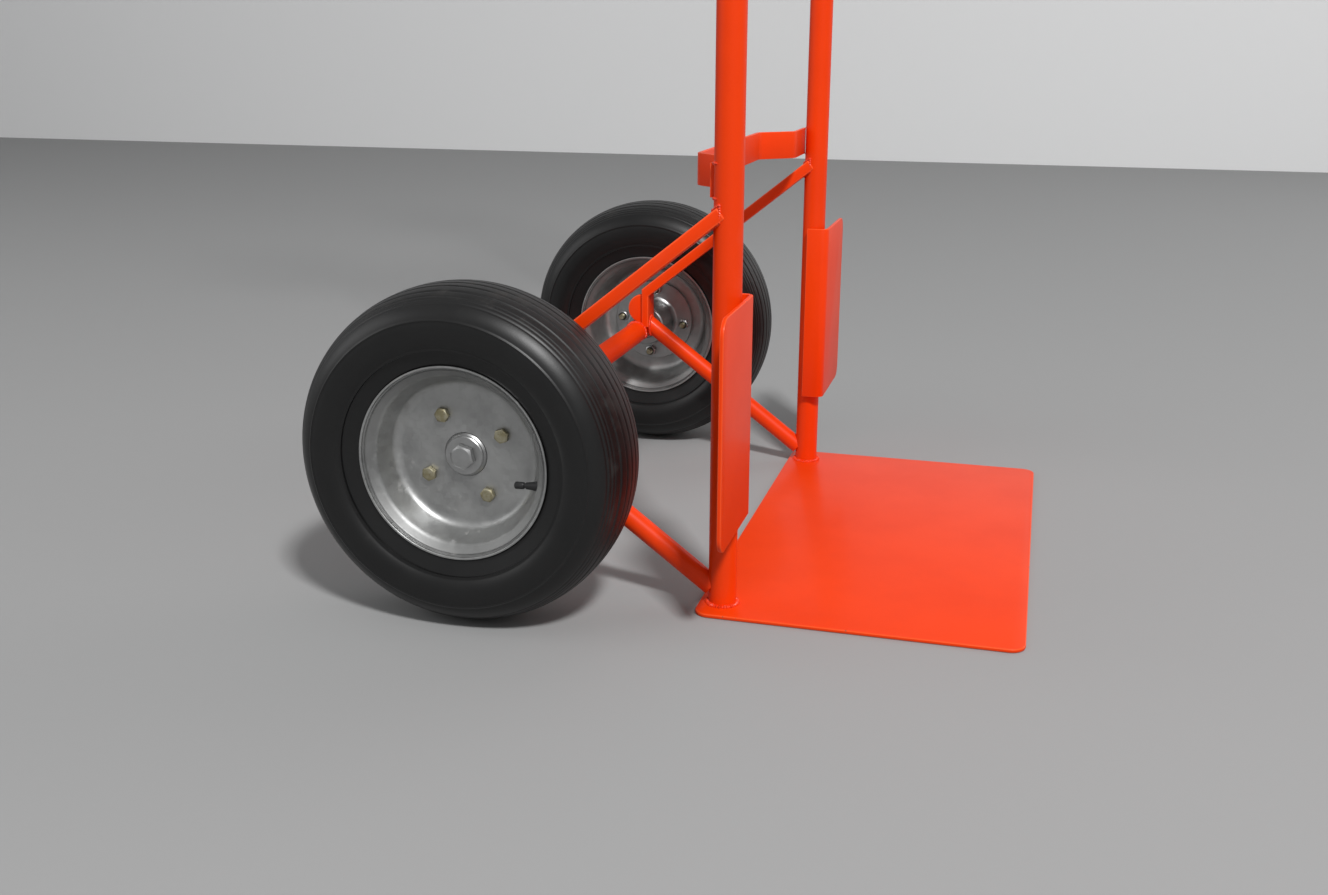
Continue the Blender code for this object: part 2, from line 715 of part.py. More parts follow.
def main():
    toe_plate()
    top_cross_tube()
    axle_tube()
    axle_shaft()
    for word, bottom in STRAP_BOTTOMS.items():
        cross_strap(word, bottom)
    axle_cut = tube_cutter("axle_cut", TUBE_RADIUS, (-0.3, AXLE_Y, AXLE_Z), (0.3, AXLE_Y, AXLE_Z))
    for word, side in SIDES.items():
        foot = (side * UPRIGHT_X, 0, -0.01)
        tube_cut = tube_cutter(word + "_tube_cut", TUBE_RADIUS, foot, (side * UPRIGHT_X, 0, 0.4))
        upright(word, side)
        grip(word, side)
        knuckle_guard(word, side)
        wheel_guard(word, side)
        upper_strut(word, side, tube_cut, axle_cut)
        lower_strut(word, side, tube_cut)
        axle_bracket(word, side, axle_cut)
        wheel(word, side)


main()
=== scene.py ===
"""The looks of an upright hand truck: a painted tube frame, pressed steel rims and pneumatic tyres."""

from math import atan2, cos, exp, pi, radians, sin, tan

import bmesh
import bpy
from mathutils import Matrix, Vector


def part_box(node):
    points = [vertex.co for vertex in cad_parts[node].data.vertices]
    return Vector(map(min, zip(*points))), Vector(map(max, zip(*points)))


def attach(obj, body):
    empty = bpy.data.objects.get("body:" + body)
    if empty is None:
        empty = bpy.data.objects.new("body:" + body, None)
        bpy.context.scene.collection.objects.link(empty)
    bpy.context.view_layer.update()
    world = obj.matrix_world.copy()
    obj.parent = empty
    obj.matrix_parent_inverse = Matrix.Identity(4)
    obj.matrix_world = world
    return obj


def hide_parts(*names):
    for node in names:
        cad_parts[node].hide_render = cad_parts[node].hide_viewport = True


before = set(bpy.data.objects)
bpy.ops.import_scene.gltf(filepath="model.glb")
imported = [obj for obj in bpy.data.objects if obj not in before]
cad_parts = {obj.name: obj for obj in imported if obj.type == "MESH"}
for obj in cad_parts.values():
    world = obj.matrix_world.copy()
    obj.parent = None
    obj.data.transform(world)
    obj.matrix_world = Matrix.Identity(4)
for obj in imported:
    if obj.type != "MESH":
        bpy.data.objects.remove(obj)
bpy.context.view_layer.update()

SIDES = {"left": 1, "right": -1}
WALL_X = 3.74

# Frame members
SHEET = 0.003
TUBE_RADIUS = 0.011
TUBE_WALL = 0.002
BRACE_RADIUS = 0.00825
BEND_RADIUS = 0.060
WELD_STEP = 0.00055
PLATE_CORNER = 0.012
STRAP_TAB_X = 0.140
STRAP_BOW_X = 0.115
STRAP_BEND = 0.010
GUARD_BEND = 0.0045
GUARD_CORNER = 0.013
STRUT_TOP = 0.3118
STRUT_START = 0.0065
STRUT_DEPTH = 0.010
STRUT_SLOPE = radians(38.7)
STRUT_FOOT_DEPTH = 0.0074
BRACE_FOOT = Vector((0.0142, 0.0205))
BRACE_HEAD = Vector((0.1693, 0.1364))

# Grips, measured along the grip from the corner of the bend
GRIP_START = 0.088
GRIP_LENGTH = 0.120
GRIP_RIBS = 17
GRIP_BORE = 0.0112
RIB_GROOVE = 0.0131
RIB_SHOULDER = 0.0143
RIB_CREST = 0.0145
ROD_START = 0.078
ROD_END = 0.220
ROD_REACH = 0.048
ROD_RADIUS = 0.003

# Wheels, measured along the axle from the tyre's middle, outboard positive
TREAD_GROOVES = (0.0045, 0.0135, 0.0225)
SHOULDER_LINES = (0.0290, 0.0320, 0.0350)
TREAD_EDGE = 0.037
MOULD_RING_RADIUS = 0.1090
BEAD_RING_RADIUS = 0.0872
LIP_RADIUS = 0.0742
LIP_FACE = 0.0346
RIM_SHEET = 0.0011
DISC_FACE = 0.0070
INNER_DISC_FACE = 0.0017
FLANGE_FACE = 0.0014
FLANGE_RADIUS = 0.0430
HUB_FACE = 0.0090
NOSE_RADIUS = 0.0168
BARREL_RADIUS = 0.0205
BEARING_RADIUS = 0.0130
INNER_BEARING_BOTTOM = -0.0375
RIM_BOLT_ACROSS = 0.010
AXLE_BOLT_ACROSS = 0.017
THREAD_RADIUS = 0.0030
SHAFT_END_RADIUS = 0.0060
SHAFT_RADIUS = 0.0086
SHOULDER_DEPTH = 0.0381
VALVE_LEAN = radians(17)
CAP_RIBS = 14


def middle(node):
    """The middle of a node's box."""
    low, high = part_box(node)
    return (low + high) / 2


PLATE_LOW, PLATE_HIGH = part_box("toe_plate")
GROUND = PLATE_LOW.z
WHEEL_MIDDLE = middle("left_tyre")
AXLE = Vector((0, WHEEL_MIDDLE.y, WHEEL_MIDDLE.z))
WHEEL_X = WHEEL_MIDDLE.x
TYRE_LOW, TYRE_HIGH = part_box("left_tyre")
TYRE_RADIUS = (TYRE_HIGH.z - TYRE_LOW.z) / 2
TYRE_HALF_WIDTH = (TYRE_HIGH.x - TYRE_LOW.x) / 2
UPRIGHT_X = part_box("left_lower_strut")[0].x + BRACE_RADIUS
GRIP_TIP = Vector((0.235, 0.183, 1.382))
BEND = Vector((UPRIGHT_X, 0, 1.256))


# Shader maths


class Wire:
    """One output of a shader node, which takes part in arithmetic."""

    def __init__(self, finish, socket):
        self.finish = finish
        self.socket = socket

    def maths(self, operation, first, second):
        return self.finish.node("ShaderNodeMath", {"operation": operation}, {0: first, 1: second})

    def __add__(self, other):
        return self.maths("ADD", self, other)

    def __radd__(self, other):
        return self.maths("ADD", other, self)

    def __sub__(self, other):
        return self.maths("SUBTRACT", self, other)

    def __rsub__(self, other):
        return self.maths("SUBTRACT", other, self)

    def __mul__(self, other):
        return self.maths("MULTIPLY", self, other)

    def __rmul__(self, other):
        return self.maths("MULTIPLY", other, self)

    def between(self, low, high):
        """0 at low, 1 at high, and smooth between them."""
        inputs = {"Value": self, "From Min": low, "From Max": high}
        return self.finish.node("ShaderNodeMapRange", {"interpolation_type": "SMOOTHSTEP"}, inputs)


class Finish:
    """A material. node() adds a shader node, and feed() links what changes over the surface."""

    def __init__(self, name, **constants):
        self.material = bpy.data.materials.new(name)
        self.material.use_nodes = True
        self.tree = self.material.node_tree
        self.shader = self.tree.nodes["Principled BSDF"]
        for socket, value in constants.items():
            self.shader.inputs[socket.replace("_", " ")].default_value = value
        self.place = self.node("ShaderNodeTexCoord", output="Object")

    def node(self, kind, settings=None, inputs=None, output=0):
        made = self.tree.nodes.new(kind)
        for key, value in (settings or {}).items():
            setattr(made, key, value)
        for key, value in (inputs or {}).items():
            if isinstance(value, Wire):
                self.tree.links.new(value.socket, made.inputs[key])
            else:
                made.inputs[key].default_value = value
        return Wire(self, made.outputs[output])

    def feed(self, socket, wire):
        self.tree.links.new(wire.socket, self.shader.inputs[socket])

    def noise(self, scale, detail=3, stretch=(1, 1, 1), roughness=0.55):
        """Noise from 0 to 1. Scale counts its features in a metre."""
        place = self.node("ShaderNodeMapping", None, {"Vector": self.place, "Scale": stretch})
        inputs = {"Vector": place, "Scale": scale, "Detail": detail, "Roughness": roughness}
        return self.node("ShaderNodeTexNoise", None, inputs)

    def mixed(self, share, first, second):
        inputs = {0: share, 6: first, 7: second}
        return self.node("ShaderNodeMix", {"data_type": "RGBA"}, inputs, 2)

    def attribute(self, name):
        return self.node("ShaderNodeAttribute", {"attribute_name": name}, None, "Fac")

    def relief(self, height, depth):
        """A bump that stands depth metres high where height is 1."""
        inputs = {"Height": height, "Distance": depth, "Strength": 1.0}
        self.feed("Normal", self.node("ShaderNodeBump", None, inputs))


def grey(value):
    return (value, value, value, 1)


def orange_paint():
    """Glossy powder coat with a fine orange peel, faint dust, worn chips on the edges and a painted highlight
    along them.
    """
    finish = Finish("orange_paint", Coat_Roughness=0.14, Coat_IOR=1.45, Specular_IOR_Level=0.16)
    cloud = finish.noise(9, 4)
    speckle = finish.noise(420, 2)
    wear_and_edge_highlight = finish.attribute("wear_and_edge_highlight")
    chips = (finish.noise(190, 4) + wear_and_edge_highlight * 0.12).between(0.80, 0.83) * wear_and_edge_highlight
    tone = finish.mixed(cloud.between(0.3, 0.7), (0.86, 0.050, 0.0010, 1), (0.80, 0.043, 0.0008, 1))
    tone = finish.mixed(speckle.between(0.45, 0.75) * 0.06, tone, (0.66, 0.04, 0.004, 1))
    dust = finish.noise(34, 5).between(0.60, 0.84) * 0.03
    tone = finish.mixed(dust, tone, (0.50, 0.36, 0.28, 1))
    # Painted highlight: the rounded edges are painted a lighter orange, as if they catch the light.
    tone = finish.mixed(wear_and_edge_highlight * 0.30, tone, (1.0, 0.16, 0.045, 1))
    tone = finish.mixed(chips * 0.8, tone, (0.20, 0.10, 0.075, 1))
    finish.feed("Base Color", tone)
    finish.feed("Roughness", 0.40 + cloud * 0.08 + dust * 2 + chips * 0.15)
    finish.feed("Coat Weight", 0.10 - chips * 0.08)
    peel = finish.noise(650, 2)
    finish.relief(peel * 0.35 + speckle * 0.25 - chips, 0.00004)
    return finish.material


def weld_paint():
    """The same coat over a weld bead, with painted shade in the dips of its lumps and a painted highlight on
    their tops.
    """
    finish = Finish("weld_paint", Coat_Roughness=0.16, Specular_IOR_Level=0.35)
    lumps = finish.noise(900, 3)
    # Painted shade and highlight: the tone is darker where the lumps dip and lighter on their tops.
    tone = finish.mixed(lumps.between(0.35, 0.65), (0.62, 0.026, 0.002, 1), (0.90, 0.050, 0.004, 1))
    finish.feed("Base Color", tone)
    finish.feed("Roughness", 0.32 + lumps * 0.15)
    finish.feed("Coat Weight", 0.40 - lumps * 0.2)
    finish.relief(lumps, 0.00025)
    return finish.material


def tyre_rubber():
    """Satin black rubber: faint moulding waves on the sidewall and a lightly scuffed tread."""
    finish = Finish("tyre_rubber", Specular_IOR_Level=0.42)
    cloud = finish.noise(26, 5)
    grain = finish.noise(900, 3)
    tread = finish.attribute("tread")
    dust = (finish.noise(70, 6) + tread * 0.10).between(0.60, 0.90) * (0.10 + tread * 0.30)
    tone = finish.mixed(cloud, (0.0035, 0.0035, 0.0037, 1), (0.0070, 0.0069, 0.0068, 1))
    tone = finish.mixed(dust, tone, (0.050, 0.046, 0.042, 1))
    finish.feed("Base Color", tone)
    finish.feed("Roughness", 0.34 + cloud * 0.14 + dust * 0.30 + tread * 0.06)
    finish.relief(grain * 0.35 + cloud * 0.5, 0.00012)
    return finish.material


def soft_rubber():
    """Matt black rubber for the grips, valves and tubes."""
    finish = Finish("soft_rubber", Specular_IOR_Level=0.4)
    cloud = finish.noise(60, 4)
    grain = finish.noise(1400, 2)
    finish.feed("Base Color", finish.mixed(cloud, (0.010, 0.010, 0.010, 1), (0.020, 0.020, 0.021, 1)))
    finish.feed("Roughness", 0.34 + cloud * 0.20)
    finish.relief(grain, 0.00005)
    return finish.material


def galvanised_steel():
    """Pressed sheet with a dull zinc coat: pale spangles, drawing marks, grime and painted shade on the outer
    wall.
    """
    finish = Finish("galvanised_steel")
    inputs = {"Vector": finish.place, "Scale": 210.0, "Randomness": 1.0}
    spangle = finish.node("ShaderNodeTexVoronoi", {"distance": "CHEBYCHEV"}, inputs, "Color")
    spangle = finish.node("ShaderNodeSeparateColor", None, {0: spangle})
    cloud = finish.noise(34, 5)
    grime = finish.noise(120, 6).between(0.58, 0.80)
    recess = finish.attribute("recess")
    wall = finish.attribute("wall")
    tone = finish.mixed(cloud.between(0.25, 0.75), (0.32, 0.322, 0.32, 1), (0.43, 0.432, 0.425, 1))
    tone = finish.mixed(spangle * 0.16, tone, (0.62, 0.63, 0.63, 1))
    tone = finish.mixed(grime * (0.10 + recess * 0.30), tone, (0.14, 0.125, 0.105, 1))
    # Painted shade: the outer wall of the flange is darkened to tone down its reflection.
    tone = finish.mixed(wall * 0.45, tone, (0.13, 0.13, 0.128, 1))
    finish.feed("Base Color", tone)
    finish.feed("Metallic", 0.92 - grime * 0.35)
    finish.feed("Roughness", 0.34 + cloud * 0.13 + spangle * 0.05 + grime * 0.20 + wall * 0.10)
    marks = finish.noise(500, 3)
    finish.relief(spangle * 0.25 + marks * 0.4 + cloud * 0.8, 0.00008)
    return finish.material


def bright_steel():
    """Turned and zinc plated steel."""
    finish = Finish("bright_steel", Metallic=1.0)
    cloud = finish.noise(150, 4)
    fine = finish.noise(1800, 2)
    finish.feed("Base Color", finish.mixed(cloud, (0.36, 0.362, 0.36, 1), (0.48, 0.482, 0.48, 1)))
    finish.feed("Roughness", 0.33 + cloud * 0.16)
    finish.relief(fine * 0.4 + cloud, 0.00002)
    return finish.material


def yellow_zinc():
    """Yellow passivated zinc, uneven, with darker patches where it has worn."""
    finish = Finish("yellow_zinc", Metallic=1.0)
    cloud = finish.noise(260, 5)
    patches = finish.noise(700, 3)
    tone = finish.mixed(cloud.between(0.3, 0.7), (0.34, 0.30, 0.18, 1), (0.46, 0.43, 0.32, 1))
    tone = finish.mixed(patches.between(0.62, 0.80), tone, (0.20, 0.16, 0.10, 1))
    finish.feed("Base Color", tone)
    finish.feed("Roughness", 0.42 + cloud * 0.20)
    finish.relief(patches, 0.00003)
    return finish.material


FINISHES = {
    "orange_paint": orange_paint(),
    "weld_paint": weld_paint(),
    "tyre_rubber": tyre_rubber(),
    "soft_rubber": soft_rubber(),
    "galvanised_steel": galvanised_steel(),
    "bright_steel": bright_steel(),
    "yellow_zinc": yellow_zinc(),
}


# Shapes


def rounded(corners, radii, steps=6):
    """A line through these corners, with an arc of its radius at each inner one."""
    corners = [Vector(corner).to_3d() for corner in corners]
    if not hasattr(radii, "__len__"):
        radii = [radii] * (len(corners) - 2)
    line = [corners[0]]
    for before, corner, after, radius in zip(corners, corners[1:], corners[2:], radii):
        inward = (corner - before).normalized()
        outward = (after - corner).normalized()
        angle = inward.angle(outward)
        if radius == 0 or angle < 0.01:
            line.append(corner)
            continue
        start = corner - inward * radius * (1 - cos(angle)) / sin(angle)
        side = (outward - inward * inward.dot(outward)).normalized()
        for step in range(steps + 1):
            turn = angle * step / steps
            line.append(start + inward * radius * sin(turn) + side * radius * (1 - cos(turn)))
    return line + [corners[-1]]


def thickened(line, thickness):
    """The closed outline of a sheet whose skin is this flat line and whose back lies to the line's left."""
    back = []
    for number, point in enumerate(line):
        before = line[max(number - 1, 0)]
        after = line[min(number + 1, len(line) - 1)]
        along = (after - before).normalized()
        back.append(point + Vector((-along.y, along.x, 0)) * thickness)
    return line + back[::-1]


def turned(outline, steps=96, closed=True):
    """A bmesh turned about Z from (radius, height) points."""
    shape = bmesh.new()
    corners = [shape.verts.new((point[0], 0, point[1])) for point in outline]
    pairs = list(zip(corners, corners[1:]))
    if closed:
        pairs.append((corners[-1], corners[0]))
    edges = [shape.edges.new(pair) for pair in pairs]
    bmesh.ops.spin(
        shape, geom=corners + edges, cent=(0, 0, 0), axis=(0, 0, 1), steps=steps, angle=2 * pi, use_merge=True
    )
    bmesh.ops.remove_doubles(shape, verts=shape.verts, dist=1e-7)
    bmesh.ops.recalc_face_normals(shape, faces=shape.faces)
    return shape


def swept(path, radii, sides, closed=False):
    """A bmesh that carries a circle along a path. Radii is one radius, or one for each point."""
    if not hasattr(radii, "__len__"):
        radii = [radii] * len(path)
    count = len(path)
    shape = bmesh.new()
    made = bmesh.ops.create_circle(shape, segments=sides, radius=radii[0])
    ring = made["verts"]
    edges = shape.edges[:]
    first = ring
    after = path[1] - (path[-1] if closed else path[0])
    heading = after.normalized()
    facing = Vector((0, 0, 1)).rotation_difference(heading).to_matrix()
    bmesh.ops.rotate(shape, verts=ring, cent=(0, 0, 0), matrix=facing)
    bmesh.ops.translate(shape, verts=ring, vec=path[0])
    if not closed:
        bmesh.ops.contextual_create(shape, geom=edges)
    for number in range(1, count):
        here = path[number]
        ahead = path[(number + 1) % count] if closed else path[min(number + 1, count - 1)]
        turn = (ahead - path[number - 1]).normalized()
        raised = bmesh.ops.extrude_edge_only(shape, edges=edges)["geom"]
        ring = [item for item in raised if isinstance(item, bmesh.types.BMVert)]
        edges = [item for item in raised if isinstance(item, bmesh.types.BMEdge)]
        bmesh.ops.translate(shape, verts=ring, vec=here - path[number - 1])
        bmesh.ops.rotate(shape, verts=ring, cent=here, matrix=heading.rotation_difference(turn).to_matrix())
        swell = radii[number] / radii[number - 1]
        bmesh.ops.scale(shape, verts=ring, vec=(swell, swell, swell), space=Matrix.Translation(-here))
        heading = turn
    if closed:
        start = [edge for edge in shape.edges if all(vert in first for vert in edge.verts)]
        bmesh.ops.bridge_loops(shape, edges=start + edges)
    else:
        bmesh.ops.contextual_create(shape, geom=edges)
    bmesh.ops.recalc_face_normals(shape, faces=shape.faces)
    return shape


def prism(outline, thickness):
    """A bmesh from a flat outline, thickened along +Z."""
    shape = bmesh.new()
    corners = [shape.verts.new(Vector(point).to_3d()) for point in outline]
    face = shape.faces.new(corners)
    raised = bmesh.ops.extrude_face_region(shape, geom=[face])["geom"]
    top = [item for item in raised if isinstance(item, bmesh.types.BMVert)]
    bmesh.ops.translate(shape, verts=top, vec=(0, 0, thickness))
    bmesh.ops.recalc_face_normals(shape, faces=shape.faces)
    return shape


def join(shape, other):
    """Adds another bmesh to a shape."""
    mesh = bpy.data.meshes.new("joined")
    other.to_mesh(mesh)
    other.free()
    shape.from_mesh(mesh)
    bpy.data.meshes.remove(mesh)


def soften(shape, width, segments=2, angle=40):
    """Rounds every sharp edge and marks the narrow faces along it for the paint's chips and painted edge
    highlight.
    """
    layer = shape.faces.layers.float.get("wear_and_edge_highlight") or shape.faces.layers.float.new("wear_and_edge_highlight")
    sharp = [edge for edge in shape.edges if edge.is_manifold and edge.calc_face_angle() > radians(angle)]
    rounding = bmesh.ops.bevel(
        shape, geom=sharp, offset=width, segments=segments, profile=0.5, affect="EDGES", material=-1,
        clamp_overlap=True
    )
    for face in rounding["faces"]:
        face[layer] = 1.0


def piece(name, shape, finish, body, replaces=(), place=None, sharp=35):
    """Makes the object, rides it on its body, and hides the CAD nodes it stands for."""
    if place is not None:
        bmesh.ops.transform(shape, verts=shape.verts, matrix=place)
    mesh = bpy.data.meshes.new(name)
    shape.to_mesh(mesh)
    shape.free()
    mesh.shade_smooth()
    mesh.set_sharp_from_angle(angle=radians(sharp))
    mesh.materials.append(FINISHES[finish])
    made = bpy.data.objects.new(name, mesh)
    bpy.context.scene.collection.objects.link(made)
    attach(made, body)
    if replaces:
        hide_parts(*replaces)
    return made


# The frame


def toe_plate():
    """A flat sheet with round corners and softened edges."""
    size = PLATE_HIGH - PLATE_LOW
    shape = bmesh.new()
    place = Matrix.Translation((PLATE_LOW + PLATE_HIGH) / 2) @ Matrix.Diagonal((*size, 1))
    bmesh.ops.create_cube(shape, size=1, matrix=place)
    corners = [edge for edge in shape.edges if abs((edge.verts[0].co - edge.verts[1].co).z) > size.z / 2]
    bmesh.ops.bevel(
        shape, geom=corners, offset=PLATE_CORNER, segments=10, profile=0.5, affect="EDGES", material=-1
    )
    soften(shape, 0.0009, 3)
    piece("pressed_toe_plate", shape, "orange_paint", "frame", ["toe_plate"])


def grip_line(side):
    """The corner of an upright's bend, the direction of its grip, and the tube's tip."""
    corner = Vector((side * BEND.x, BEND.y, BEND.z))
    tip = Vector((side * GRIP_TIP.x, GRIP_TIP.y, GRIP_TIP.z))
    return corner, (tip - corner).normalized(), tip


def upright(word, side):
    """A tube from the plate up to its bend and back to the tip of the grip."""
    corner, _, tip = grip_line(side)
    foot = Vector((corner.x, corner.y, PLATE_HIGH.z))
    path = rounded([foot, corner, tip], BEND_RADIUS, 16)
    piece(word + "_bent_upright", swept(path, TUBE_RADIUS, 48), "orange_paint", "frame", [word + "_upright"])


def grip(word, side):
    """A ribbed rubber sleeve with a collar at its front, and a plug in the tube's end."""
    corner, along, tip = grip_line(side)
    facing = along.to_track_quat("Z", "Y").to_matrix().to_4x4()
    outline = [(GRIP_BORE, 0), (0.0150, 0), (0.0158, 0.0012), (0.0158, 0.0048), (0.0138, 0.0062)]
    pitch = (GRIP_LENGTH - 0.020) / GRIP_RIBS
    for rib in range(GRIP_RIBS):
        base = 0.0080 + rib * pitch
        for radius, share in (
            (RIB_GROOVE, 0),
            (RIB_GROOVE, 0.18),
            (RIB_SHOULDER, 0.34),
            (RIB_CREST, 0.50),
            (RIB_SHOULDER, 0.66),
            (RIB_GROOVE, 0.82),
        ):
            outline.append((radius, base + share * pitch))
    outline += [(0.0140, GRIP_LENGTH - 0.0110), (RIB_CREST, GRIP_LENGTH - 0.0095)]
    outline += [(RIB_CREST, GRIP_LENGTH - 0.0005), (0.0141, GRIP_LENGTH), (GRIP_BORE, GRIP_LENGTH)]
    place = Matrix.Translation(corner + along * GRIP_START) @ facing
    piece(word + "_ribbed_grip", turned(outline, 64), "soft_rubber", "frame", [word + "_grip"], place)
    plug = [(0, 0.0015), (0.0100, 0.0015), (0.0107, 0.0008), (0.0109, 0), (0.0109, -0.006), (0, -0.006)]
    piece(word + "_end_plug", turned(plug, 48), "soft_rubber", "frame", (), Matrix.Translation(tip) @ facing)


def knuckle_guard(word, side):
    """A rod that bows outwards from one end of the grip to the other."""
    corner, along, _ = grip_line(side)
    out = Vector((side, 0, 0))
    out = (out - along * along.dot(out)).normalized()
    centre = (ROD_START + ROD_END) / 2
    half = (ROD_END - ROD_START) / 2
    base = TUBE_RADIUS - 0.001
    steps = 40
    path = []
    for step in range(steps + 1):
        turn = pi * step / steps
        rise = base + (ROD_REACH - base) * sin(turn) ** 0.8
        path.append(corner + along * (centre - half * cos(turn)) + out * rise)
    rod = swept(path, ROD_RADIUS, 16)
    piece(word + "_bent_knuckle_guard", rod, "orange_paint", "frame", [word + "_knuckle_guard"])
    for name, spot in (("lower", path[0]), ("upper", path[-1])):
        foot = spot + out * 0.0016
        weld(f"{word}_guard_{name}_weld", circle(foot, out, 0.0036), 0.0011)


def cross_strap(level):
    """A flat band with a tab behind each upright and a flat-bottomed bow between them."""
    node = level + "_cross_strap"
    name = level + "_bowed_strap"
    low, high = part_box(node)
    corners = [(-UPRIGHT_X, low.y), (-STRAP_TAB_X, low.y), (-STRAP_BOW_X, high.y - SHEET)]
    corners += [(-x, y) for x, y in corners[::-1]]
    line = rounded(corners, STRAP_BEND, 8)
    shape = prism(thickened(line, SHEET), high.z - low.z)
    soften(shape, 0.0006)
    piece(name, shape, "orange_paint", "frame", [node], Matrix.Translation((0, 0, low.z)))
    for word, side in SIDES.items():
        start = radians(90 - side * 52)
        end = radians(90 + side * 5)
        for edge, height in (("under", low.z), ("over", high.z)):
            path = arc(Vector((side * UPRIGHT_X, 0, height)), TUBE_RADIUS, start, end)
            weld(f"{name}_{word}_{edge}_weld", path, 0.0013, closed=False)


def top_cross_tube():
    """A round tube between the uprights, just below their bends."""
    ends = [Vector((side * (UPRIGHT_X - 0.006), 0, middle("top_cross_tube").z)) for side in (-1, 1)]
    shape = swept([ends[0], (ends[0] + ends[1]) / 2, ends[1]], TUBE_RADIUS, 48)
    piece("round_top_tube", shape, "orange_paint", "frame", ["top_cross_tube"])
    for word, side in SIDES.items():
        spot = Vector((side * UPRIGHT_X, 0, ends[0].z))
        weld(word + "_top_tube_weld", saddle(spot, Vector((-side, 0, 0)), TUBE_RADIUS, TUBE_RADIUS), 0.0016)


def wheel_guard(word, side):
    """An angle: a wide plate in front of the wheel and a narrow flange on the upright's inner side."""
    node = word + "_wheel_guard"
    low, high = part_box(node)
    inner, outer = (low.x, high.x) if side > 0 else (high.x, low.x)
    line = rounded([(inner, high.y), (inner, low.y), (outer, low.y)], GUARD_BEND, 6)
    shape = prism(thickened(line, -side * SHEET), high.z - low.z)
    tips = [
        edge
        for edge in shape.edges
        if all(abs(vert.co.x - outer) < 1e-5 for vert in edge.verts)
        and abs(edge.verts[0].co.y - edge.verts[1].co.y) > SHEET / 2
    ]
    bmesh.ops.bevel(
        shape, geom=tips, offset=GUARD_CORNER, segments=8, profile=0.5, affect="EDGES", material=-1
    )
    soften(shape, 0.0007)
    piece(word + "_folded_guard", shape, "orange_paint", "frame", [node], Matrix.Translation((0, 0, low.z)))


YZ_PLANE = Matrix(((0, 0, 1, 0), (1, 0, 0, 0), (0, 1, 0, 0), (0, 0, 0, 1)))


def bar(name, outline, width, node, x):
    """A flat-sided bar from its outline in the YZ plane, centred on x."""
    shape = prism(outline, width)
    soften(shape, 0.0012, 3)
    stand = Matrix.Translation((x - width / 2, 0, 0)) @ YZ_PLANE
    piece(name, shape, "orange_paint", "frame", [node], stand)


def upper_strut(word, side):
    """A bar from the upright to the axle tube, with its foot bent upright."""
    node = word + "_upper_strut"
    low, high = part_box(node)
    depth = STRUT_DEPTH / cos(STRUT_SLOPE)
    rise = tan(STRUT_SLOPE)
    top = STRUT_TOP + depth / 2
    bottom = STRUT_TOP - depth / 2
    back = high.y
    front = back - STRUT_FOOT_DEPTH
    foot = AXLE.z + 0.006
    under = STRUT_START - STRUT_DEPTH * sin(STRUT_SLOPE)
    corners = [(STRUT_START, top - rise * STRUT_START), (back, top - rise * back), (back, foot)]
    corners += [(front, foot), (front, bottom - rise * front), (under, bottom - rise * under)]
    line = rounded(corners, [0.0012, 0, 0, 0.0020], 4)
    bar(word + "_flat_strut", line, 2 * TUBE_RADIUS + 0.0010, node, side * UPRIGHT_X)
    half = (high.x - low.x) / 2 - 0.0003
    height = STRUT_TOP - rise * TUBE_RADIUS
    seam = [(-half, -depth / 2), (-half, depth / 2), (half, depth / 2), (half, -depth / 2)]
    path = []
    for first, second in zip(seam, seam[1:] + seam[:1]):
        for step in range(8):
            across = first[0] + (second[0] - first[0]) * step / 8
            up = first[1] + (second[1] - first[1]) * step / 8
            y = (TUBE_RADIUS**2 - across**2) ** 0.5
            z = height + up + rise * (TUBE_RADIUS - y)
            path.append(Vector((side * UPRIGHT_X + across, y + 0.0004, z)))
    weld(word + "_strut_weld", path, 0.0013)


def lower_strut(word, side):
    """A round brace from the foot of the upright to the strut's foot above the axle tube."""
    node = word + "_lower_strut"
    foot = Vector((side * UPRIGHT_X, *BRACE_FOOT))
    head = Vector((side * UPRIGHT_X, *BRACE_HEAD))
    along = (head - foot).normalized()
    start = foot - along * 0.0070
    end = head + along * 0.0060
    shape = swept([start, (start + end) / 2, end], BRACE_RADIUS, 40)
    piece(word + "_round_brace", shape, "orange_paint", "frame", [node])
    spot = Vector((head.x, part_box(node)[1].y, head.z))
    weld(word + "_brace_head_weld", oval(spot, BRACE_RADIUS, BRACE_RADIUS * 1.25), 0.0014)


def axle_bracket(word):
    """A small plate with a round back, standing on the axle tube."""
    node = word + "_axle_bracket"
    low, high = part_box(node)
    front = low.y - 0.0020
    half = (high.z - low.z) / 2
    line = [(front, low.z), (front, high.z)]
    for step in range(1, 24):
        turn = pi / 2 - pi * step / 24
        line.append((low.y + (high.y - low.y) * cos(turn), low.z + half + half * sin(turn)))
    bar(word + "_round_bracket", line, high.x - low.x, node, (low.x + high.x) / 2)


